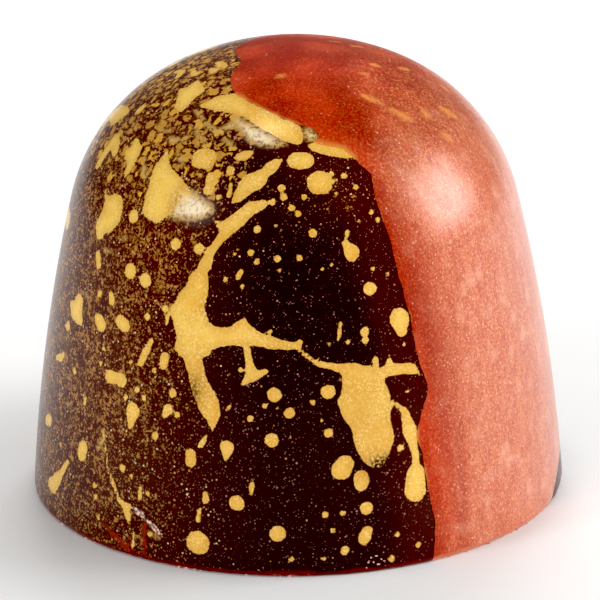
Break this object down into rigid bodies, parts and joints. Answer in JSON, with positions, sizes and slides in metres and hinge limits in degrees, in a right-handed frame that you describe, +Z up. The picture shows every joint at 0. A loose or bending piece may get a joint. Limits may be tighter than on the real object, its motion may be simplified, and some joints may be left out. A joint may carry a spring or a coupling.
{
  "type": "chocolate praline",
  "caption": "Moulded dark chocolate praline: a glossy tall dome on a flat base, spattered with yellow and brushed with copper red cocoa butter.",
  "frame": {"origin": "centre of the flat base", "axes": "+Z up through the crown; the decorated side that the picture shows faces -Y"},
  "size_m": [0.028, 0.028, 0.0238],
  "materials": {
    "painted_chocolate": "glossy dark chocolate, spattered with yellow and brushed with pearly copper red cocoa butter"
  },
  "bodies": {
    "root": {"praline": "painted_chocolate"}
  },
  "joints": []
}
